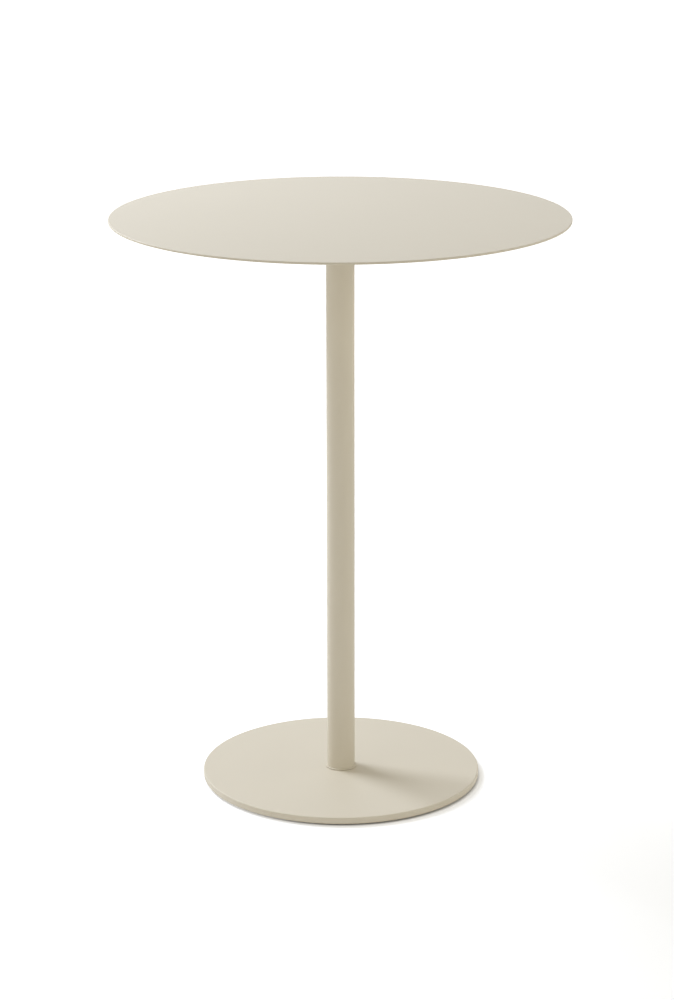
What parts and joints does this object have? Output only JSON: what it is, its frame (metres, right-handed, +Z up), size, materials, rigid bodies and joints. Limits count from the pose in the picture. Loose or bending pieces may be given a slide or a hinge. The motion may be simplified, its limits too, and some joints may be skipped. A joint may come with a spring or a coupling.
{
  "type": "wine table",
  "caption": "Small round pedestal side table: a thin flat steel top on a slim tubular column that stands on a heavy round base plate.",
  "frame": {"origin": "on the floor, under the column's axis, level with the glides' undersides", "axes": "+Z up along the column, +X to the right and -Y towards the viewer as the picture shows it"},
  "size_m": [0.3999, 0.4, 0.515],
  "materials": {
    "powder_coat": "matte cream powder coat with a fine texture",
    "zinc_steel": "bright zinc plating",
    "glide_plastic": "matte black moulded plastic"
  },
  "bodies": {
    "root": {"table_top": "powder_coat", "top_mounting_plate": "powder_coat", "column_flange": "powder_coat", "column_tube": "powder_coat", "head_weld": "powder_coat", "foot_plug": "powder_coat", "base_plate": "powder_coat", "base_bolt": "zinc_steel", "flange_washers": "zinc_steel", "flange_screws": "zinc_steel", "glide_1": "glide_plastic", "glide_2": "glide_plastic", "glide_3": "glide_plastic", "glide_4": "glide_plastic", "glide_5": "glide_plastic", "glide_6": "glide_plastic"}
  },
  "joints": []
}
